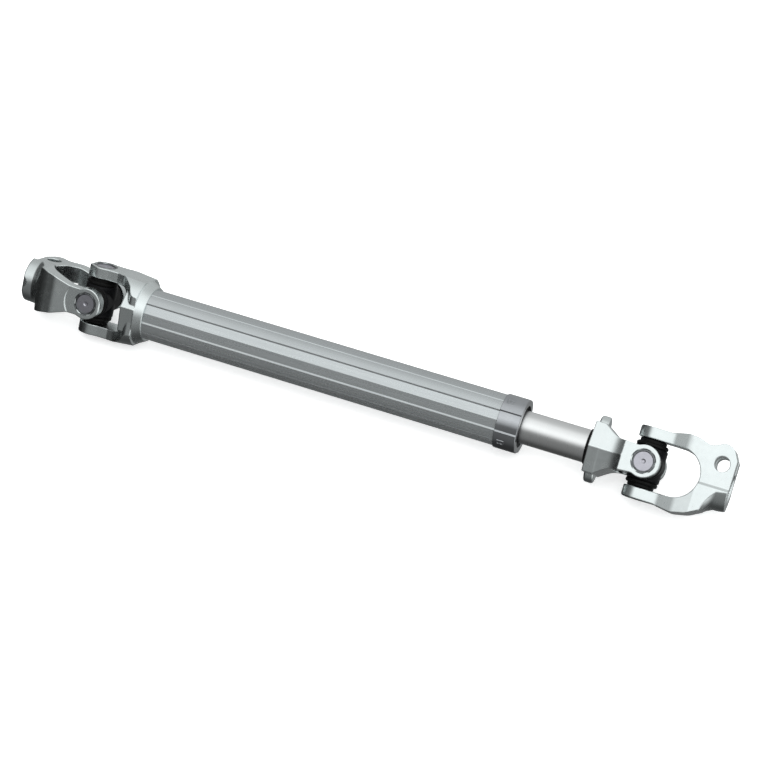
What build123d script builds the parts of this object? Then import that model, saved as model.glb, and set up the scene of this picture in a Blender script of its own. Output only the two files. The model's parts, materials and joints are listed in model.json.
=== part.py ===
from build123d import *
import math
import os

# Telescopic steering intermediate shaft with a ball slide and two cardan joints.
# Millimetres. X runs along the shaft, Z is up. The origin is where the column clamp's
# pinch-bolt axis passes its bore, so the bore of the column clamp holds the frame.
# Angles about the shaft are in degrees from +Y towards +Z.

# ---- driving dimensions -------------------------------------------------------------
JOINT_SPAN = 403.6        # one joint centre to the other, at mid travel
COLUMN_BOLT = 45.4        # pinch-bolt axis to the joint centre, column clamp
COLUMN_END = 53.4         # joint centre to the end face of the column clamp
PINION_BOLT = 48.4        # pinch-bolt axis to the joint centre, pinion clamp
PINION_END = 57.4         # joint centre to the end face of the pinion clamp
X_COLUMN = COLUMN_BOLT
X_PINION = X_COLUMN + JOINT_SPAN

COLUMN_PHASE = -36.0      # direction of the column clamp's split side
FORK_PHASE = 54.0         # trunnion direction of the tube fork
SHAFT_YOKE_PHASE = 126.0  # trunnion direction of the shaft yoke
PINION_PHASE = 36.0       # direction of the pinion clamp's split side
FLUTE_PHASE = 41.0        # direction of the first channel of the fluted tube
QUARTER = 90.0

EAR_R = 10.9              # round eye at the end of every yoke arm
NECK = 9.5                # half width of an arm behind its eye
ARM_IN = 16.8             # half gap between a pair of arms
ARM_OUT = 24.4            # flat outer face of an eye
EAR_ROUND = 2.6           # rounded tip corners
BLOCK = 40.0              # half size of construction blocks, larger than any section

BORE_R = 9.0              # clamp bore, root circle of its serration
SERRATIONS = 36
SERRATION_DEPTH = 0.45
SLIT = 3.5                # gap between the two pinch lugs
HUB_R = 16.0              # plain half of the clamp hub, at its end face
HUB_BACK = 50.0           # where the round hub starts to grow into the arms
HUB_START = 30.0          # joint centre to the start of a clamp's hub
LUG_FACE = 14.0           # half thickness of the pinch lugs over both
LUG_STEP = (-1.4, -3.4)   # slope between the lug face and the plain half
ARM_BULGE = 26.8          # outer reach of a clamp arm where it turns into the hub
SPOT_FACE_R = 15.6        # machined round each eye of a clamp
BOLT_OFFSET = 13.4        # pinch-bolt axis beside the bore axis
BOLT_HOLE_R = 5.1         # clearance hole for an M10 pinch bolt
THROAT_END = 37.0         # bottom of the U between the clamp arms

CUP_R = 7.5               # bearing cup, outside
CUP_BORE_R = 6.55
CUP_END = 23.8
CUP_FLOOR = 1.4
TRUNNION_R = 4.7
TRUNNION_END = 21.6
NEEDLE_R = 0.85
NEEDLES = 19
NEEDLE_SPAN = (17.3, 21.5)
NEEDLE_PITCH_R = TRUNNION_R + NEEDLE_R + 0.05
SEAL_R = 10.8
SEAL_NECK_R = 9.0
SEAL_SPAN = (11.5, 14.2, 16.5)
CROSS_R = 11.2

FORK_FACE = 25.2          # joint centre to the web between the fork arms
FORK_HUB_END = 35.4       # joint centre to the start of the sloping collar
FORK_END = 41.4           # joint centre to the seat of the tube
FORK_HUB_R = 23.2         # over the corners of the eight-sided hub
TUBE_SEAT_R = 19.4
FORK_REACH = (27.0, 25.0) # envelope of the fork arms, at the eyes and at the hub

TUBE_LOBE_R = 18.7
TUBE_CHANNEL_R = 17.85
CHANNEL_HALF = 20.0       # half angle of a channel
FLANK = 2.5               # angle that a flank takes between channel and lobe
TUBE_WALL = 2.65
X_TUBE = X_COLUMN + FORK_END
CAP_START = 347.2
CAP_END = 362.6
CAP_WALL = 1.0
TUBE_END = CAP_END - 3.6
FLUTES = 4
CREASE = 0.32             # fine groove along the middle of each lobe
CREASE_HALF = 1.7

SHAFT_R = 11.4
SHAFT_START = 187.0
STOP_GROOVE = (190.4, 192.2)
GROOVES = (195.0, 316.0)  # ball grooves, from end to end
BALL_R = 2.5
BALL_PITCH_R = 12.9       # shaft axis to a ball's centre
BALL_ROW = 7
BALL_PITCH = 10.0
FIT = 0.05                # radial running clearance
CAGE_X = (221.0, 295.0)
RAIL_X = (197.0, 322.0)
BUSH_X = (337.0, 355.0)
YOKE_FLANGE = (31.3, 38.0)
SHAFT_YOKE_FACE = 20.5
LUG_R = 9.6               # round lugs above and below the flange of the shaft yoke
LUG_CENTRE = 13.4
SPIGOT_R = 9.5
RING_LENGTH = 3.2
RING_R = 12.2


def placed(shape, phase, x, hub_back=False):
    """Turns a piece about the shaft and sets it at x; hub_back points +X backwards."""
    facing = Rot(0, 180, 0) if hub_back else Rot(0, 0, 0)
    return Pos(x, 0, 0) * Rot(phase, 0, 0) * facing * shape


def along_x(start, end, radius):
    """A rod on the shaft axis from start to end."""
    return Pos(start, 0, 0) * extrude(Plane.YZ * Circle(radius), end - start)


def along_y(start, end, radius):
    """A rod on the Y axis from start to end."""
    return Pos(0, start, 0) * extrude(Plane.XZ * Circle(radius), -(end - start))


def slab(x0, x1, y0, y1, z0, z1):
    """A block between two corners."""
    size = (x1 - x0, y1 - y0, z1 - z0)
    return Pos(x0, y0, z0) * Box(*size, align=(Align.MIN, Align.MIN, Align.MIN))


def rounded(face, corners):
    """Rounds the corners of a flat outline: each entry is x, y and the radius."""
    for x, y, radius in corners:
        corner = min(face.vertices(), key=lambda v: math.hypot(v.X - x, v.Y - y))
        face = fillet(corner, radius)
    return face


def mirrored(points):
    """Points of the upper half of an outline, then the same ones below the X axis."""
    return points + [(x, -y) for x, y in reversed(points)]


def polar(radius, degrees):
    turn = math.radians(degrees)
    return (radius * math.cos(turn), radius * math.sin(turn))


def fluted(lobe, channel, crease=0.0):
    """Section of the fluted tube: four broad lobes with a channel between each pair.

    A crease marks the middle of each lobe, and then the channel floors are two flats.
    """
    edges = []
    step = 360.0 / FLUTES
    for index in range(FLUTES):
        middle = FLUTE_PHASE + index * step
        into, out = middle - CHANNEL_HALF, middle + CHANNEL_HALF
        if crease:
            floor = [Line(polar(channel, into), polar(channel, middle)),
                     Line(polar(channel, middle), polar(channel, out))]
        else:
            floor = [ThreePointArc(polar(channel, into), polar(channel, middle), polar(channel, out))]
        start, top, end = out + FLANK, middle + step / 2, into + step - FLANK
        rise = Line(polar(channel, out), polar(lobe, start))
        fall = Line(polar(lobe, end), polar(channel, into + step))
        if crease:
            left, right = top - CREASE_HALF, top + CREASE_HALF
            crest = [ThreePointArc(polar(lobe, start), polar(lobe, (start + left) / 2), polar(lobe, left)),
                     Line(polar(lobe, left), polar(lobe - crease, top)),
                     Line(polar(lobe - crease, top), polar(lobe, right)),
                     ThreePointArc(polar(lobe, right), polar(lobe, (right + end) / 2), polar(lobe, end))]
        else:
            crest = [ThreePointArc(polar(lobe, start), polar(lobe, top), polar(lobe, end))]
        edges += [*floor, rise, *crest, fall]
    return make_face(Wire(edges))


def eye_bores():
    """What is cut from both eyes of a yoke: the cup seats with their chamfered mouths."""
    cut = along_y(-ARM_OUT - 5, ARM_OUT + 5, CUP_R + 0.01)
    for side in (1, -1):
        mouth = Plane.XZ.offset(-side * (ARM_OUT - 0.4)) * Circle(CUP_R)
        rim = Plane.XZ.offset(-side * (ARM_OUT + 0.3)) * Circle(CUP_R + 0.7)
        cut += loft([mouth.face(), rim.face()])
    return cut


def arm_plan(points, neck):
    """Outline of a yoke seen along its trunnions: a round eye, a neck and the flare."""
    blend = 6.0
    reach = EAR_R + blend
    middle = (math.sqrt(reach ** 2 - (neck + blend) ** 2), neck + blend)
    leave = (middle[0] * EAR_R / reach, middle[1] * EAR_R / reach)
    turn = math.degrees(math.atan2(-middle[1], -middle[0]))
    halfway = math.radians((turn - 90.0) / 2)
    bend = (middle[0] + blend * math.cos(halfway), middle[1] + blend * math.sin(halfway))
    upper = [(middle[0], neck)] + points
    outline = [ThreePointArc((leave[0], -leave[1]), (-EAR_R, 0), leave)]
    outline.append(ThreePointArc(leave, bend, upper[0]))
    closed = mirrored(upper)
    outline += [Line(a, b) for a, b in zip(closed, closed[1:])]
    outline.append(ThreePointArc(closed[-1], (bend[0], -bend[1]), (leave[0], -leave[1])))
    return make_face(Wire(outline))


def throat_block(floor):
    """The space between two arms, down to the web at floor."""
    start = -EAR_R - 2
    gap = rounded(Pos(start, 0) * Rectangle(floor - start, 2 * ARM_IN, align=(Align.MIN, Align.CENTER)),
                  [(floor, ARM_IN, 6.0), (floor, -ARM_IN, 6.0)])
    return extrude(gap, BLOCK, both=True)


# ---- clamp yokes ---------------------------------------------------------------------
def clamp_front(end):
    """Outline of a clamp yoke seen along its pinch bolt, with the lug on the +Y side.

    The hub's outline is drawn for the pinion clamp, and shortened where it ends earlier.
    """
    share = (end - HUB_START) / (PINION_END - HUB_START)
    dip, rise, crest, fall, back, heel = (
        HUB_START + share * (x - HUB_START) for x in (38.0, 43.5, 48.6, 54.0, 46.4, 34.4))
    tip, face = -EAR_R, ARM_OUT + 0.2
    throat = THROAT_END - ARM_IN
    upper = [(throat, ARM_IN), (tip, ARM_IN), (tip, face), (12, face), (23, ARM_BULGE),
             (HUB_START, 26.0), (dip, 23.2), (rise, 25.4)]
    lower = [(fall, 24.2), (end, 17.8), (end, -15.4), (back, -17.6), (heel, -24.2),
             (24, -26.5), (12, -face), (tip, -face), (tip, -ARM_IN), (throat, -ARM_IN)]
    outline = [Line(a, b) for a, b in zip(upper, upper[1:])]
    outline.append(ThreePointArc(upper[-1], (crest, 27.0), lower[0]))
    outline += [Line(a, b) for a, b in zip(lower, lower[1:])]
    outline.append(ThreePointArc(lower[-1], (THROAT_END, 0), upper[0]))
    soft = [(tip, face, EAR_ROUND), (tip, -face, EAR_ROUND), (dip, 23.2, 6.0),
            (HUB_START, 26.0, 20.0), (12, face, 12.0), (12, -face, 12.0),
            (23, ARM_BULGE, 10.0), (24, -26.5, 12.0), (heel, -24.2, 14.0),
            (back, -17.6, 14.0), (end, 17.8, 1.5), (tip, ARM_IN, 1.0),
            (tip, -ARM_IN, 1.0), (end, -15.4, 1.0)]
    return rounded(make_face(Wire(outline)), soft)


def serration(end):
    """The toothed bore of a clamp: a rod with small ridges all round."""
    bore = along_x(THROAT_END - 12, end + 1, BORE_R)
    half = 0.45
    tooth = Polygon((BORE_R - 0.5, -half), (BORE_R + SERRATION_DEPTH, -0.08),
                    (BORE_R + SERRATION_DEPTH, 0.08), (BORE_R - 0.5, half), align=None)
    ridge = Pos(THROAT_END - 12, 0, 0) * extrude(Plane.YZ * tooth, end - THROAT_END + 13)
    pitch = 360.0 / SERRATIONS
    return bore + [Rot(pitch * (index + 0.5), 0, 0) * ridge for index in range(SERRATIONS)]


def clamp_plan(half, end):
    """Outline of a clamp yoke seen along its trunnions, with the given half width of hub."""
    plan = arm_plan([(13, NECK), (25, 13.4), (36, half), (end, half)], NECK)
    return rounded(plan, [(25, 13.4, 20.0), (25, -13.4, 20.0), (13, NECK, 10.0), (13, -NECK, 10.0)])


def hub_envelope(end):
    """Turned outline of the plain half: a round hub that grows into the arms."""
    neck = HUB_R + 0.4
    back = HUB_BACK - (PINION_END - end)
    return [Line((end, 0), (end, HUB_R)), Line((end, HUB_R), (back, neck)),
            ThreePointArc((back, neck), (back - 4.6, neck + 3.1), (back - 7.6, 28)),
            Line((back - 7.6, 28), (back - 12, BLOCK)), Line((back - 12, BLOCK), (-BLOCK, BLOCK)),
            Line((-BLOCK, BLOCK), (-BLOCK, 0)), Line((-BLOCK, 0), (end, 0))]


def clamp_yoke(end, bolt):
    """Forged clamp yoke, hub towards +X: lugs on the +Y side, a plain half hub opposite."""
    front = extrude(clamp_front(end), HUB_R + 2, both=True)
    plain = HUB_R - 0.4
    lug_side, plain_side = LUG_STEP
    run = (lug_side - plain_side) / (plain - LUG_FACE)
    ridge, foot = plain_side + plain * run, plain_side + (plain - BLOCK) * run
    below_step = Polygon((ridge, 0), (foot, BLOCK), (-2 * BLOCK, BLOCK), (-2 * BLOCK, -BLOCK),
                         (foot, -BLOCK), align=None)
    lower = front & extrude(Plane.XZ * clamp_plan(plain, end), BLOCK, both=True)
    lower &= Pos(-BLOCK, 0, 0) * extrude(Plane.YZ * below_step, 3 * BLOCK)
    lower &= revolve(make_face(Wire(hub_envelope(end))), Axis.X)
    upper = front & extrude(Plane.XZ * clamp_plan(LUG_FACE, end), BLOCK, both=True)
    upper &= slab(-BLOCK, 2 * BLOCK, lug_side, BLOCK, -BLOCK, BLOCK)
    body = lower + upper
    for side in (1, -1):
        body -= along_y(*sorted((side * ARM_OUT, side * BLOCK)), SPOT_FACE_R)
    body -= serration(end)
    body -= slab(THROAT_END - 12, end + 1, 0, BLOCK, -SLIT / 2, SLIT / 2)
    body -= Pos(bolt, BOLT_OFFSET, 0) * Cylinder(BOLT_HOLE_R, 2 * BLOCK)
    mouth = Pos(end - 1.2, 0, 0) * Rot(0, 90, 0) * Cone(
        BORE_R - 0.2, BORE_R + 1.2, 1.4, align=(Align.CENTER, Align.CENTER, Align.MIN))
    return body - mouth - eye_bores()


# ---- tube fork -----------------------------------------------------------------------
def tube_fork():
    """Fork welded to the fluted tube, hub towards +X, with an eight-sided hub."""
    tip, bend = -EAR_R, 16.5
    corner = FORK_HUB_R - 0.3
    side = [(tip, ARM_OUT), (bend, ARM_OUT), (FORK_HUB_END, corner)]
    face = Polygon(*mirrored(side), align=None)
    face = rounded(face, [(tip, ARM_OUT, EAR_ROUND), (tip, -ARM_OUT, EAR_ROUND),
                          (bend, ARM_OUT, 18.0), (bend, -ARM_OUT, 18.0)])
    wide = FORK_HUB_R - 2.2
    flare = [(14, NECK), (20, 11.0), (27, 16.6), (30, wide), (FORK_HUB_END, wide)]
    plan = rounded(arm_plan(flare, NECK), [(20, 11.0, 9.0), (20, -11.0, 9.0),
                                           (30, wide, 5.0), (30, -wide, 5.0)])
    arms = extrude(face, BLOCK, both=True) & extrude(Plane.XZ * plan, BLOCK, both=True)
    envelope = Polyline((tip - 1, 0), (tip - 1, FORK_REACH[0]), (bend, FORK_REACH[0]),
                        (FORK_HUB_END, FORK_REACH[1]), (FORK_HUB_END, 0), close=True)
    arms &= revolve(make_face(envelope), Axis.X)
    octagon = Rot(0, 0, FLUTE_PHASE - FORK_PHASE) * RegularPolygon(FORK_HUB_R, 8)
    hub = Pos(FORK_FACE, 0, 0) * extrude(Plane.YZ * octagon, FORK_HUB_END - FORK_FACE)
    collar = loft([(Plane.YZ.offset(FORK_HUB_END) * Circle(FORK_HUB_R - 0.4)).face(),
                   (Plane.YZ.offset(FORK_END) * Circle(TUBE_SEAT_R)).face()])
    spigot = along_x(FORK_END - 1, FORK_END + 18, TUBE_CHANNEL_R - TUBE_WALL - 0.05)
    body = arms + hub + collar + spigot - throat_block(FORK_FACE)
    return body - eye_bores()


# ---- shaft yoke ----------------------------------------------------------------------
def roof_quarter(slope):
    """One slanted flank of the shaft yoke: its outer line swept sideways and downwards."""
    start, flat_end, ridge = 10.0, 15.4, 21.6
    flange, end = YOKE_FLANGE
    dip = ThreePointArc((flat_end, ARM_OUT), (22.5, ridge - 0.4), (flange, ridge + 1.0))
    outline = [Line((start, ARM_OUT), (flat_end, ARM_OUT)), dip,
               Line((flange, ridge + 1.0), (end, ridge + 1.0)),
               Line((end, ridge + 1.0), (end, 0)), Line((end, 0), (start, 0)),
               Line((start, 0), (start, ARM_OUT))]
    lean = math.radians(slope)
    return extrude(make_face(Wire(outline)), 30.0, dir=(0, -math.sin(lean), math.cos(lean)))


def shaft_yoke():
    """Forged yoke on the inner shaft, hub towards +X, with a lugged flange behind it."""
    tip, flat_end, slope = -EAR_R, 15.2, 16.0
    flange, end = YOKE_FLANGE
    quarter = roof_quarter(slope) & slab(0, BLOCK + 5, 0, BLOCK, 0, BLOCK)
    half = quarter + mirror(quarter, Plane.XY)
    roof = half + mirror(half, Plane.XZ)
    flat = rounded(Pos(tip, 0) * Rectangle(flat_end - tip, 2 * ARM_OUT, align=(Align.MIN, Align.CENTER)),
                   [(tip, ARM_OUT, EAR_ROUND), (tip, -ARM_OUT, EAR_ROUND)])
    body = roof + extrude(flat, BLOCK, both=True)
    wide = 17.2
    flare = [(21.5, 10.6), (flange, wide), (end, wide)]
    plan = rounded(arm_plan(flare, NECK), [(21.5, 10.6, 16.0), (21.5, -10.6, 16.0)])
    body &= extrude(Plane.XZ * plan, BLOCK, both=True)
    lug = along_x(flange - 0.4, end - 0.5, LUG_R)
    lug = fillet(lug.edges().filter_by(GeomType.CIRCLE), 1.6)
    lugs = [Pos(0, 0, side * LUG_CENTRE) * lug for side in (1, -1)]
    body = body + lugs - throat_block(SHAFT_YOKE_FACE)
    return body - along_x(0, end + 1, SPIGOT_R) - eye_bores()


# ---- cross and bearings --------------------------------------------------------------
def cross():
    """Joint cross with two pairs of trunnions, along Y and along Z."""
    arm = along_y(-SEAL_SPAN[0] + 0.1, SEAL_SPAN[0] - 0.1, CROSS_R)
    arm = chamfer(arm.edges().filter_by(GeomType.CIRCLE), 0.8)
    trunnion = along_y(-TRUNNION_END, TRUNNION_END, TRUNNION_R)
    trunnion = chamfer(trunnion.edges().filter_by(GeomType.CIRCLE), 0.5)
    pair = arm + trunnion
    return pair + Rot(QUARTER, 0, 0) * pair


def ring_y(profile):
    """A ring round the Y axis; the profile lists radius and distance from the joint."""
    return revolve(make_face(Polyline(*profile, close=True)), Axis.Y)


def trunnion_seal():
    """Stepped rubber seal between the cross and the mouth of a bearing cup."""
    inner, shoulder, outer = SEAL_SPAN
    bore = TRUNNION_R + FIT
    return ring_y([(bore, inner), (SEAL_R - 0.5, inner), (SEAL_R, inner + 0.5),
                   (SEAL_R, shoulder - 0.8), (SEAL_R - 0.8, shoulder),
                   (SEAL_NECK_R, shoulder), (SEAL_NECK_R, outer - 0.5),
                   (SEAL_NECK_R - 0.5, outer), (bore, outer)])


def bearing_cup():
    """Drawn needle-bearing cup with a dimple in the middle of its floor."""
    mouth, floor = ARM_IN, CUP_END - CUP_FLOOR
    return ring_y([(CUP_BORE_R, mouth), (CUP_R, mouth), (CUP_R, CUP_END - 0.6),
                   (CUP_R - 0.6, CUP_END), (1.6, CUP_END), (0.9, CUP_END - 0.5),
                   (0, CUP_END - 0.5), (0, floor), (CUP_BORE_R, floor)])


def needle_set():
    """The ring of needles in one bearing cup."""
    start, end = NEEDLE_SPAN
    step = 360.0 / NEEDLES
    needle = Pos(NEEDLE_PITCH_R, 0, 0) * along_y(start, end, NEEDLE_R)
    return Compound(children=[Rot(0, step * index, 0) * needle for index in range(NEEDLES)])


def thrust_pad():
    """Slim plastic disc between a trunnion's end and the floor of its cup."""
    return along_y(TRUNNION_END + 0.06, CUP_END - CUP_FLOOR - 0.06, TRUNNION_R - 0.7)


# ---- sliding pair --------------------------------------------------------------------
def outer_tube():
    outside = fluted(TUBE_LOBE_R, TUBE_CHANNEL_R, CREASE)
    inside = fluted(TUBE_LOBE_R - TUBE_WALL, TUBE_CHANNEL_R - TUBE_WALL)
    return Pos(X_TUBE, 0, 0) * extrude(Plane.YZ * (outside - inside), TUBE_END - X_TUBE)


def end_cap():
    """Fluted sleeve over the end of the tube, closed by a lip round the wiper seal."""
    outside = fluted(TUBE_LOBE_R + CAP_WALL, TUBE_CHANNEL_R + CAP_WALL)
    seat = fluted(TUBE_LOBE_R + 0.02, TUBE_CHANNEL_R + 0.02)
    body = Pos(CAP_START, 0, 0) * extrude(Plane.YZ * outside, CAP_END - CAP_START)
    rim = body.faces().sort_by(Axis.X)[-1].edges()
    body = fillet(rim, 0.8)
    body -= Pos(CAP_START - 1, 0, 0) * extrude(Plane.YZ * seat, TUBE_END - CAP_START + 1.02)
    body -= along_x(TUBE_END - 1, CAP_END + 1, 14.6)
    for index in range(FLUTES):
        lobe = FLUTE_PHASE + 45.0 + index * QUARTER
        body += Rot(lobe, 0, 0) * stake()
    return body


def stake():
    """Raised rectangular staking mark on a lobe of the end cap."""
    frame = Plane(origin=(CAP_START + 5.2, 0, 0), x_dir=(1, 0, 0), z_dir=(0, 1, 0))
    outline = Rectangle(5.0, 3.6) - Rectangle(3.6, 2.2) + Pos(-0.2, 0) * Rectangle(0.7, 2.4)
    height = TUBE_LOBE_R + CAP_WALL + 0.35
    return extrude(frame * outline, height) - slab(0, 400, 0, TUBE_LOBE_R + 0.5, -BLOCK, BLOCK)


def ring_x(profile):
    """A ring round the shaft axis; the profile lists x and radius."""
    return revolve(make_face(Polyline(*profile, close=True)), Axis.X)


def wiper_seal():
    """Rubber wiper with a lip that runs on the inner shaft."""
    lip = SHAFT_R + FIT
    end = CAP_END - 0.9
    return ring_x([(TUBE_END + 0.1, 14.5), (end, 14.5), (end, 13.2), (end - 0.8, lip + 1.0),
                   (end + 0.3, lip), (end - 1.4, lip), (TUBE_END + 0.1, lip + 1.2)])


def guide_bush():
    """Plastic bush that guides the inner shaft in the mouth of the tube."""
    start, end = BUSH_X
    outside = TUBE_CHANNEL_R - TUBE_WALL - FIT
    return along_x(start, end, outside) - along_x(start - 1, end + 1, SHAFT_R + FIT)


def ball_rails():
    """Four hardened strips with the ball tracks, one inside each lobe of the tube."""
    start, end = RAIL_X
    half = 14.0
    inner, outer = 14.0, TUBE_LOBE_R - TUBE_WALL - 0.05
    strip = make_face(Wire([
        ThreePointArc(polar(inner, -half), (inner, 0), polar(inner, half)),
        Line(polar(inner, half), polar(outer, half)),
        ThreePointArc(polar(outer, half), (outer, 0), polar(outer, -half)),
        Line(polar(outer, -half), polar(inner, -half))]))
    strip -= Pos(BALL_PITCH_R, 0) * Circle(BALL_R + FIT)
    rail = Pos(start, 0, 0) * extrude(Plane.YZ * strip, end - start)
    lobes = [FLUTE_PHASE + 45.0 + index * QUARTER for index in range(FLUTES)]
    return Compound(children=[Rot(lobe, 0, 0) * rail for lobe in lobes])


def ball_places():
    """Centre of every ball: rows along the four lobes."""
    middle = sum(CAGE_X) / 2
    first = middle - BALL_PITCH * (BALL_ROW - 1) / 2
    for index in range(FLUTES):
        lobe = FLUTE_PHASE + 45.0 + index * QUARTER
        y, z = polar(BALL_PITCH_R, lobe)
        for number in range(BALL_ROW):
            yield (first + BALL_PITCH * number, y, z, lobe)


def spline_balls():
    return Compound(children=[Pos(x, y, z) * Sphere(BALL_R) for x, y, z, lobe in ball_places()])


def ball_cage():
    """Sleeve between shaft and rails with a round pocket for every ball."""
    sleeve = along_x(*CAGE_X, 13.7) - along_x(CAGE_X[0] - 1, CAGE_X[1] + 1, 12.0)
    pockets = [Pos(x, 0, 0) * Rot(lobe, 0, 0) * along_y(8, 16, BALL_R + FIT)
               for x, y, z, lobe in ball_places()]
    return sleeve - pockets


def inner_shaft():
    """Ground shaft: ball grooves inside the tube, plain outside, a spigot in the yoke."""
    flange_x = X_PINION - YOKE_FLANGE[1]
    body = along_x(SHAFT_START, flange_x - RING_LENGTH, SHAFT_R)
    body = chamfer(body.edges().filter_by(GeomType.CIRCLE).sort_by(Axis.X)[0], 1.0)
    body += along_x(flange_x - RING_LENGTH - 1, X_PINION - SHAFT_YOKE_FACE, SPIGOT_R - 0.02)
    start, end = GROOVES
    groove = along_x(start, end, BALL_R + FIT)
    for index in range(FLUTES):
        y, z = polar(BALL_PITCH_R, FLUTE_PHASE + 45.0 + index * QUARTER)
        body -= Pos(0, y, z) * groove
    start, end = STOP_GROOVE
    floor = SHAFT_R - 1.2
    return body - ring_x([(start, floor), (end, floor), (end, 14), (start, 14)])


def shaft_ring():
    """Dark sealing ring between the plain shaft and the yoke's flange."""
    end = X_PINION - YOKE_FLANGE[1]
    return along_x(end - RING_LENGTH + 0.02, end, RING_R) - along_x(end - 4, end + 1, SPIGOT_R)


def stop_ring():
    """Split ring in the end groove of the inner shaft, which keeps the ball cage on it."""
    start, end = STOP_GROOVE[0] + 0.1, STOP_GROOVE[1] - 0.1
    ring = along_x(start, end, 13.2) - along_x(start - 1, end + 1, SHAFT_R - 1.15)
    return ring - Rot(FLUTE_PHASE, 0, 0) * slab(start - 1, end + 1, 8, 16, -1.5, 1.5)


# ---- every piece ---------------------------------------------------------------------
def joint_pieces(prefix, phase, x, names):
    """Cup, needles, seal and thrust pad for both trunnions of one yoke."""
    kinds = {"cup": bearing_cup(), "needles": needle_set(),
             "seal": trunnion_seal(), "thrust_pad": thrust_pad()}
    pieces = {}
    for name, turn in zip(names, (0.0, 180.0)):
        for kind, shape in kinds.items():
            pieces[f"{prefix}_{kind}_{name}"] = placed(shape, phase + turn, x)
    return pieces


def all_pieces():
    column_clamp = clamp_yoke(COLUMN_END, COLUMN_BOLT)
    pieces = {
        "outer_tube": outer_tube(),
        "tube_fork": placed(tube_fork(), FORK_PHASE, X_COLUMN),
        "end_cap": end_cap(),
        "wiper_seal": wiper_seal(),
        "guide_bush": guide_bush(),
        "ball_rails": ball_rails(),
        "inner_shaft": inner_shaft(),
        "shaft_yoke": placed(shaft_yoke(), SHAFT_YOKE_PHASE, X_PINION, hub_back=True),
        "shaft_ring": shaft_ring(),
        "stop_ring": stop_ring(),
        "ball_cage": ball_cage(),
        "spline_balls": spline_balls(),
        "column_clamp_yoke": placed(column_clamp, COLUMN_PHASE, X_COLUMN, hub_back=True),
        "pinion_clamp_yoke": placed(clamp_yoke(PINION_END, PINION_BOLT), PINION_PHASE, X_PINION),
        "column_cross": placed(cross(), FORK_PHASE, X_COLUMN),
        "pinion_cross": placed(cross(), PINION_PHASE, X_PINION),
    }
    pieces |= joint_pieces("fork", FORK_PHASE, X_COLUMN, ("upper", "lower"))
    pieces |= joint_pieces("column", COLUMN_PHASE, X_COLUMN, ("rear", "front"))
    pieces |= joint_pieces("shaft_yoke", SHAFT_YOKE_PHASE, X_PINION, ("front", "rear"))
    pieces |= joint_pieces("pinion", PINION_PHASE, X_PINION, ("upper", "lower"))
    return pieces


os.makedirs("parts", exist_ok=True)
for node, piece in all_pieces().items():
    export_step(piece, f"parts/{node}.step")
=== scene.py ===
import bmesh
import bpy
import json
import math
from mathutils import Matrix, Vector


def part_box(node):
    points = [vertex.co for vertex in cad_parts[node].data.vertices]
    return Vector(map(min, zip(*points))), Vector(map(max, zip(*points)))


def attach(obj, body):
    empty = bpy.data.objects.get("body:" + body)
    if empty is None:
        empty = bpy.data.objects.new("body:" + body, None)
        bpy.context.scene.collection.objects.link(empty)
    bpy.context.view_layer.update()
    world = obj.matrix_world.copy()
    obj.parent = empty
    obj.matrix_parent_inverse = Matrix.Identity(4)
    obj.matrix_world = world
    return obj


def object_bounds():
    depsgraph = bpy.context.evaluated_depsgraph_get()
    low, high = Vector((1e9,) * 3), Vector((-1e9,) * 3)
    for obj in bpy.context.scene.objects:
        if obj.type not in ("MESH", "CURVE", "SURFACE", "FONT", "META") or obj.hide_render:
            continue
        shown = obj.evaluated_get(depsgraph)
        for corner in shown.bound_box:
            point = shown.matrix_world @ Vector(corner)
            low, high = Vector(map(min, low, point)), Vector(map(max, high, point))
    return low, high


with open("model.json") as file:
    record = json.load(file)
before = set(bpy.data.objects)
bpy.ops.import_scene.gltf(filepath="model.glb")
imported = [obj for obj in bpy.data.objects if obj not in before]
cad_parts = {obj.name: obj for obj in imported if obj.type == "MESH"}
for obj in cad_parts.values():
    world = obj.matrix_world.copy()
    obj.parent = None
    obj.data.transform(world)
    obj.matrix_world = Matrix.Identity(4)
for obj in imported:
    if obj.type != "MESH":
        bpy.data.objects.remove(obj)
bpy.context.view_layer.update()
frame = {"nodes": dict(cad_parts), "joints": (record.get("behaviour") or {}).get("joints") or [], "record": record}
nodes = frame["nodes"]
joint_at = {j["name"]: Vector(j["pos_m"]) for j in frame["joints"] if "pos_m" in j}
joint_axis = {j["name"]: Vector(j["axis"]).normalized() for j in frame["joints"]}

MM = 0.001

# ---- camera --------------------------------------------------------------------------
VIEW_AZIMUTH = math.radians(21.8)
VIEW_ELEVATION = math.radians(49.1)
VIEW_DISTANCE = 1.500
LOOK_SHARE = 0.5374      # look-at point, as a share of the way between the joint centres
LENS_MM = 102.8
SENSOR_MM = 36.0


def add_camera():
    column, pinion = joint_at["column_trunnion"], joint_at["pinion_trunnion"]
    target = column.lerp(pinion, LOOK_SHARE)
    back = Vector((math.sin(VIEW_AZIMUTH) * math.cos(VIEW_ELEVATION),
                   -math.cos(VIEW_AZIMUTH) * math.cos(VIEW_ELEVATION),
                   math.sin(VIEW_ELEVATION)))
    data = bpy.data.cameras.new("camera")
    data.lens = LENS_MM
    data.sensor_width = SENSOR_MM
    camera = bpy.data.objects.new("camera", data)
    camera.location = target + back * VIEW_DISTANCE
    camera.rotation_euler = (-back).to_track_quat("-Z", "Y").to_euler()
    bpy.context.scene.collection.objects.link(camera)
    bpy.context.scene.camera = camera


# ---- node helpers --------------------------------------------------------------------
NOISE_ROUGHNESS = 0.55
NOISE_LOW, NOISE_HIGH = 0.3, 0.7      # where most of a noise texture's values lie
BEVEL_SAMPLES = 8


def new_material(name):
    material = bpy.data.materials.new(name)
    material.use_nodes = True
    tree = material.node_tree
    return material, tree, tree.nodes["Principled BSDF"]


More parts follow.
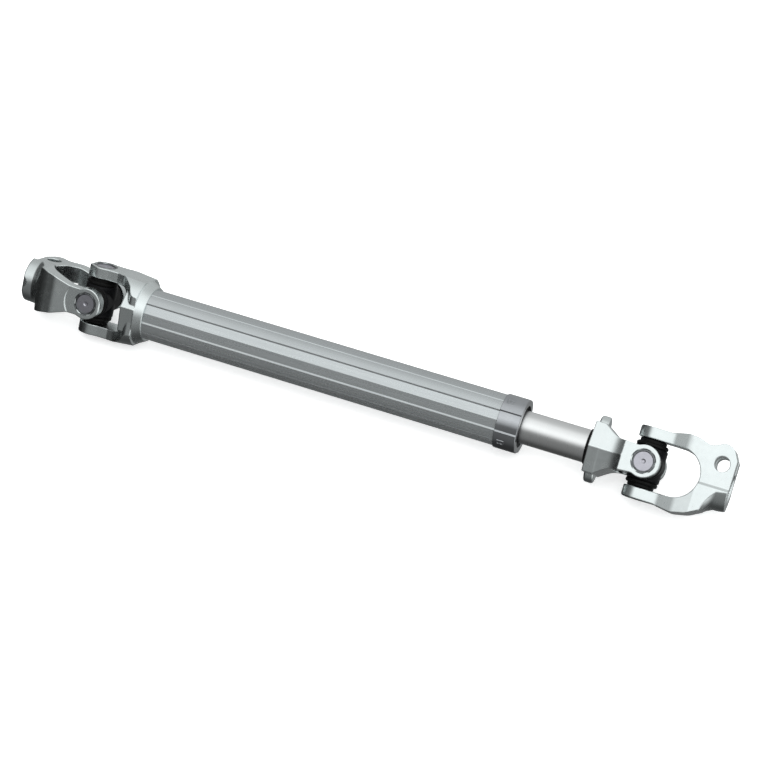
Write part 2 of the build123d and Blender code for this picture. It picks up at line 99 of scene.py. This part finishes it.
def add(tree, kind, inputs=None, **settings):
    """Adds a node; inputs maps a socket to a value or to another node's output."""
    node = tree.nodes.new(kind)
    for key, value in settings.items():
        setattr(node, key, value)
    for socket, value in (inputs or {}).items():
        if isinstance(value, bpy.types.NodeSocket):
            tree.links.new(value, node.inputs[socket])
        else:
            node.inputs[socket].default_value = value
    return node


def place(tree, stretch=(1.0, 1.0, 1.0)):
    """Object coordinates in metres, stretched along the axes."""
    coordinates = add(tree, "ShaderNodeTexCoord")
    mapping = add(tree, "ShaderNodeMapping",
                  {"Vector": coordinates.outputs["Object"], "Scale": stretch})
    return mapping.outputs["Vector"]


def noise(tree, where, scale, detail=3.0):
    return add(tree, "ShaderNodeTexNoise", {"Vector": where, "Scale": scale, "Detail": detail,
                                            "Roughness": NOISE_ROUGHNESS}).outputs["Fac"]


def spread(tree, value, low, high):
    """Maps a noise value from its usual range to low..high."""
    node = add(tree, "ShaderNodeMapRange", {"Value": value, "From Min": NOISE_LOW,
                                            "From Max": NOISE_HIGH, "To Min": low, "To Max": high})
    return node.outputs["Result"]


def bump(tree, height, strength, distance, edge):
    """Bump over the surface; edge is the radius in metres that softens its sharp edges."""
    rounded = add(tree, "ShaderNodeBevel", {"Radius": edge}, samples=BEVEL_SAMPLES)
    return add(tree, "ShaderNodeBump", {"Height": height, "Strength": strength, "Distance": distance,
                                        "Normal": rounded.outputs["Normal"]}).outputs["Normal"]


def tint(tree, factor, first, second):
    """A colour between two colours, by a factor from another node."""
    mix = add(tree, "ShaderNodeMix", {"Factor": factor}, data_type="RGBA")
    mix.inputs["A"].default_value = (*first, 1.0)
    mix.inputs["B"].default_value = (*second, 1.0)
    return mix.outputs["Result"]


def connect(tree, shader, **sockets):
    """Links outputs to the shader's sockets; an underscore stands for a space in a name."""
    for name, output in sockets.items():
        tree.links.new(output, shader.inputs[name.replace("_", " ")])


# ---- materials -----------------------------------------------------------------------
def finish(name, base, rough, grain, edge, metallic=1.0, specular=0.5, stretch=(1.0, 1.0, 1.0)):
    """A metal, rubber or plastic finish.

    base is two colours and the scale of the patches they make, rough the two ends of its
    roughness, grain the scale, strength and depth of its surface, edge a softening radius.
    """
    material, tree, shader = new_material(name)
    first, second, patch_scale = base
    grain_scale, strength, depth = grain
    patches = noise(tree, place(tree), patch_scale, 4.0)
    fine = noise(tree, place(tree, stretch), grain_scale, 3.0)
    shader.inputs["Metallic"].default_value = metallic
    shader.inputs["Specular IOR Level"].default_value = specular
    connect(tree, shader,
            Base_Color=tint(tree, patches, first, second),
            Roughness=spread(tree, fine, *rough),
            Normal=bump(tree, fine, strength, depth, edge))
    return material


def forged_steel():
    return finish("forged_steel", ((0.74, 0.785, 0.785), (0.82, 0.855, 0.855), 70.0), (0.22, 0.28),
                  (300.0, 0.018, 0.0002), 1.2 * MM)


def drawn_steel():
    return finish("drawn_steel", ((0.48, 0.505, 0.515), (0.54, 0.56, 0.57), 25.0), (0.24, 0.34),
                  (900.0, 0.10, 0.0001), 0.2 * MM, metallic=0.88, stretch=(0.02, 1.0, 1.0))


def cap_steel():
    return finish("cap_steel", ((0.38, 0.39, 0.41), (0.50, 0.51, 0.53), 120.0), (0.09, 0.16),
                  (500.0, 0.05, 0.0002), 0.5 * MM)


def ground_steel():
    return finish("ground_steel", ((0.80, 0.80, 0.80), (0.86, 0.86, 0.86), 40.0), (0.27, 0.33),
                  (2500.0, 0.03, 0.00005), 0.3 * MM, stretch=(1.0, 0.02, 0.02))


def cup_steel():
    return finish("cup_steel", ((0.44, 0.43, 0.48), (0.58, 0.57, 0.62), 300.0), (0.26, 0.38),
                  (1200.0, 0.08, 0.0002), 0.4 * MM)


# The lip's dark base colour is painted shade: it stands for the shade in the staked groove round each cup.
def lip_steel_painted_shade():
    return finish("lip_steel_painted_shade", ((0.10, 0.105, 0.11), (0.24, 0.25, 0.26), 500.0), (0.20, 0.32),
                  (900.0, 0.10, 0.0002), 0.1 * MM)


def bearing_steel():
    return finish("bearing_steel", ((0.52, 0.53, 0.55), (0.60, 0.61, 0.62), 200.0), (0.14, 0.24),
                  (900.0, 0.03, 0.00005), 0.1 * MM)


def black_steel():
    return finish("black_steel", ((0.003, 0.003, 0.0035), (0.008, 0.008, 0.009), 200.0), (0.30, 0.46),
                  (1300.0, 0.10, 0.0002), 0.8 * MM, metallic=0.0, specular=0.12)


def seal_rubber():
    return finish("seal_rubber", ((0.003, 0.003, 0.003), (0.007, 0.007, 0.007), 150.0), (0.36, 0.52),
                  (1500.0, 0.10, 0.0002), 0.5 * MM, metallic=0.0, specular=0.12)


def bearing_plastic():
    return finish("bearing_plastic", ((0.62, 0.58, 0.46), (0.72, 0.68, 0.56), 120.0), (0.42, 0.55),
                  (1500.0, 0.08, 0.0001), 0.2 * MM, metallic=0.0)


MAKERS = {"yoke_steel": forged_steel, "tube_steel": drawn_steel, "cap_steel": cap_steel,
          "ground_steel": ground_steel, "cup_steel": cup_steel, "cross_black": black_steel,
          "seal_rubber": seal_rubber, "bearing_steel": bearing_steel,
          "bearing_plastic": bearing_plastic}


def dress_nodes():
    """Gives every CAD node the procedural material of its slot."""
    made = {slot: maker() for slot, maker in MAKERS.items()}
    for entry in frame["record"]["subparts"]:
        obj = nodes[entry["node"]]
        obj.data.materials.clear()
        obj.data.materials.append(made[entry["material_slot"]])


# ---- staked rings --------------------------------------------------------------------
# Radius from the trunnion axis and height over the eye's face, in millimetres.
RING_SECTION = ((6.30, -0.62), (6.45, -0.20), (6.80, 0.02), (7.25, -0.06), (7.60, -0.22),
                (7.95, 0.05), (8.20, 0.14), (8.50, -0.05), (8.30, -0.40), (7.70, -0.55))
GROOVE = 4                # the section's point that lies in the groove round the cup
RING_STEPS = 120
STAKES = 6
STAKE_HALF = math.radians(14.0)
STAKE_SINK = 0.42         # how deep a stake presses the groove, in millimetres
STAKE_PUSH = 0.25         # how far it pushes the groove outwards, in millimetres
STAKE_REACH = 3.0         # points of the section from the groove to where it has no effect
EYE_FACE = 24.4 * MM      # the joint's centre to the outer face of an eye


def stake_depth(angle):
    """How far a stake presses the ring in at this angle, from 0 to 1."""
    pitch = math.tau / STAKES
    off = abs((angle + pitch / 2) % pitch - pitch / 2)
    return math.cos(off / STAKE_HALF * math.pi / 2) if off < STAKE_HALF else 0.0


def staked_ring(name, cup, joint, body, material):
    """The rolled lip that holds a bearing cup in its eye, pressed in at its stakes."""
    low, high = (Vector(corner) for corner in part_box(cup))
    centre = joint_at[joint]
    axis = joint_axis[joint].copy()
    if axis.dot((low + high) / 2 - centre) < 0:
        axis.negate()
    along = Vector((1.0, 0.0, 0.0))
    across = axis.cross(along)
    mesh = bmesh.new()
    loops = []
    for step in range(RING_STEPS):
        angle = math.tau * step / RING_STEPS
        press = stake_depth(angle)
        out = along * math.cos(angle) + across * math.sin(angle)
        loop = []
        for index, (radius, rise) in enumerate(RING_SECTION):
            near = max(0.0, 1.0 - abs(index - GROOVE) / STAKE_REACH)
            height = EYE_FACE + (rise - STAKE_SINK * press * near) * MM
            loop.append(mesh.verts.new(centre + out * (radius + STAKE_PUSH * press * near) * MM
                                       + axis * height))
        loops.append(loop)
    for first, second in zip(loops, loops[1:] + loops[:1]):
        for a, b, c, d in zip(first, first[1:] + first[:1], second[1:] + second[:1], second):
            mesh.faces.new((a, b, c, d))
    bmesh.ops.recalc_face_normals(mesh, faces=mesh.faces)
    data = bpy.data.meshes.new(name)
    mesh.to_mesh(data)
    mesh.free()
    for polygon in data.polygons:
        polygon.use_smooth = True
    piece = bpy.data.objects.new(name, data)
    bpy.context.scene.collection.objects.link(piece)
    data.materials.append(material)
    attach(piece, body)


def add_staked_rings(material):
    """A ring on every cup; each row says which cups, on which trunnion and which body."""
    rows = (("fork", ("upper", "lower"), "fork_trunnion", "outer_tube"),
            ("column", ("rear", "front"), "column_trunnion", "column_clamp"),
            ("shaft_yoke", ("front", "rear"), "shaft_yoke_trunnion", "inner_shaft"),
            ("pinion", ("upper", "lower"), "pinion_trunnion", "pinion_clamp"))
    for prefix, ends, joint, body in rows:
        for end in ends:
            staked_ring(f"{prefix}_staked_ring_{end}", f"{prefix}_cup_{end}",
                        joint, body, material)


# ---- studio --------------------------------------------------------------------------
# Angle in degrees about the shaft, from the front horizon upwards, and brightness there.
STUDIO_STOPS = ((-180, 0.55), (-150, 0.42), (-110, 0.13), (-75, 0.05), (-50, 0.07),
                (-30, 0.15), (-10, 0.19), (10, 0.20), (30, 0.25), (41, 0.70), (50, 1.02),
                (60, 1.30), (74, 1.27), (90, 1.10), (112, 0.98), (125, 0.76), (140, 0.60),
                (165, 0.54))
STUDIO_RED = 0.97                 # the studio's light is a little short of red
RIGHT_LIGHT = (1.05, 1.08, 1.08)
LEFT_FADE = (-0.85, -0.33)        # X of the directions between which the left grows dark
LEFT_LEVEL = 0.15
RIGHT_FADE = (0.55, 0.95)         # X of the directions between which the right turns bright


def fade(tree, value, ends, low, high):
    """A smooth change from low to high while value goes from one end to the other."""
    node = add(tree, "ShaderNodeMapRange", {"Value": value, "From Min": ends[0], "From Max": ends[1],
                                            "To Min": low, "To Max": high},
               interpolation_type="SMOOTHSTEP")
    return node.outputs["Result"]


def studio_world():
    """A gradient that turns about X: dark below the front horizon, brightest above it."""
    world = bpy.data.worlds.new("studio")
    world.use_nodes = True
    tree = world.node_tree
    direction = add(tree, "ShaderNodeTexCoord").outputs["Generated"]
    split = add(tree, "ShaderNodeSeparateXYZ", {"Vector": direction})
    forward = add(tree, "ShaderNodeMath", {0: split.outputs["Y"], 1: -1.0}, operation="MULTIPLY")
    angle = add(tree, "ShaderNodeMath", {0: split.outputs["Z"], 1: forward.outputs["Value"]},
                operation="ARCTAN2")
    turn = add(tree, "ShaderNodeMapRange", {"Value": angle.outputs["Value"],
                                            "From Min": -math.pi, "From Max": math.pi})
    left = fade(tree, split.outputs["X"], LEFT_FADE, LEFT_LEVEL, 1.0)
    right = fade(tree, split.outputs["X"], RIGHT_FADE, 0.0, 1.0)
    ramp = add(tree, "ShaderNodeValToRGB", {"Fac": turn.outputs["Result"]})
    elements = ramp.color_ramp.elements
    while len(elements) > 1:
        elements.remove(elements[-1])
    for index, (degrees, value) in enumerate(STUDIO_STOPS):
        position = (degrees + 180.0) / 360.0
        element = elements[0] if index == 0 else elements.new(position)
        element.position = position
        element.color = (value * STUDIO_RED, value, value, 1.0)
    lit = add(tree, "ShaderNodeMix", {"Factor": right, "A": ramp.outputs["Color"]},
              data_type="RGBA")
    lit.inputs["B"].default_value = (*RIGHT_LIGHT, 1.0)
    background = tree.nodes["Background"]
    tree.links.new(lit.outputs["Result"], background.inputs["Color"])
    tree.links.new(left, background.inputs["Strength"])
    bpy.context.scene.world = world


FLOOR_HALF = 4.0
FLOOR_GLOW = 0.55                 # lifts the floor to the photograph's white


def add_floor():
    """A pale floor under the lowest point of the shaft."""
    low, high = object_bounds()
    middle = (Vector(low) + Vector(high)) / 2
    mesh = bpy.data.meshes.new("floor")
    corners = [(middle.x + x * FLOOR_HALF, middle.y + y * FLOOR_HALF, low[2]) for x, y in
               ((-1, -1), (1, -1), (1, 1), (-1, 1))]
    mesh.from_pydata(corners, [], [(0, 1, 2, 3)])
    floor = bpy.data.objects.new("floor", mesh)
    bpy.context.scene.collection.objects.link(floor)
    material, tree, shader = new_material("floor")
    shader.inputs["Roughness"].default_value = 0.9
    shader.inputs["Specular IOR Level"].default_value = 0.0
    shader.inputs["Emission Strength"].default_value = FLOOR_GLOW
    shader.inputs["Emission Color"].default_value = (1.0, 1.0, 1.0, 1.0)
    connect(tree, shader, Base_Color=tint(tree, noise(tree, place(tree), 3.0),
                                          (0.93, 0.93, 0.93), (0.95, 0.95, 0.95)))
    mesh.materials.append(material)
    floor.visible_glossy = False


KEY_SPOT = Vector((0.3, -0.5, 1.8))   # from the middle of the shaft
KEY_SIZE = 1.6
KEY_POWER = 22.0


def add_softbox():
    """A square softbox over the shaft, which the metal doesn't mirror."""
    data = bpy.data.lights.new("key", "AREA")
    data.shape = "SQUARE"
    data.size = KEY_SIZE
    data.energy = KEY_POWER
    lamp = bpy.data.objects.new("key", data)
    middle = joint_at["column_trunnion"].lerp(joint_at["pinion_trunnion"], 0.5)
    lamp.location = middle + KEY_SPOT
    lamp.visible_glossy = False
    lamp.rotation_euler = (-KEY_SPOT).to_track_quat("-Z", "Y").to_euler()
    bpy.context.scene.collection.objects.link(lamp)


def main():
    bpy.context.scene.view_settings.view_transform = "Standard"
    add_camera()
    studio_world()
    add_floor()
    add_softbox()
    dress_nodes()
    # The staked rings get a steel whose dark colour is painted shade.
    add_staked_rings(lip_steel_painted_shade())


main()
